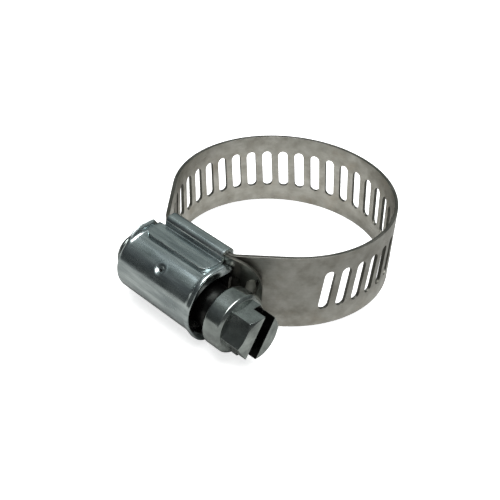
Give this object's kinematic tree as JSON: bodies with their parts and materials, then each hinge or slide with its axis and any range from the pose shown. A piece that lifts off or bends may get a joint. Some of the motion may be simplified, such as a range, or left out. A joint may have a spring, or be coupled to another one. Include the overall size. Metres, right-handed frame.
{
  "type": "hose clamp",
  "caption": "Worm-drive hose clamp: a slotted steel band closed to a loop by a captive screw with a slotted hex head, in a pressed housing on a saddle.",
  "frame": {"origin": "centre of the hose bore, half way up the band's width", "axes": "+Z along the hose; +X along the screw, towards its hex head; the housing is on the -Y side"},
  "size_m": [0.04, 0.0516, 0.016],
  "materials": {
    "housing": "zinc plated, glossy, fine streaks along the barrel",
    "band": "rolled stainless strip, satin",
    "screw": "zinc plated, satin"
  },
  "bodies": {
    "root": {"housing": "housing", "saddle": "housing", "band_loop": "band"},
    "free_end": {"band_free_end": "band", "band_tail": "band"},
    "worm": {"worm_screw": "screw"}
  },
  "joints": [
    {"name": "screw_spin", "type": "hinge", "parent": "root", "child": "worm", "pos_m": [0, -0.02554, 0], "axis": [-1, 0, 0], "range_deg": [-360, 360]},
    {"name": "band_feed", "type": "slide", "parent": "root", "child": "free_end", "axis": [1, 0, 0], "range_m": [-0.00319, 0.00319], "deforming": ["band_tail"]}
  ],
  "couplings": [
    {"joint": "band_feed", "follows": "screw_spin", "m_per_rad": 0.0005077}
  ]
}
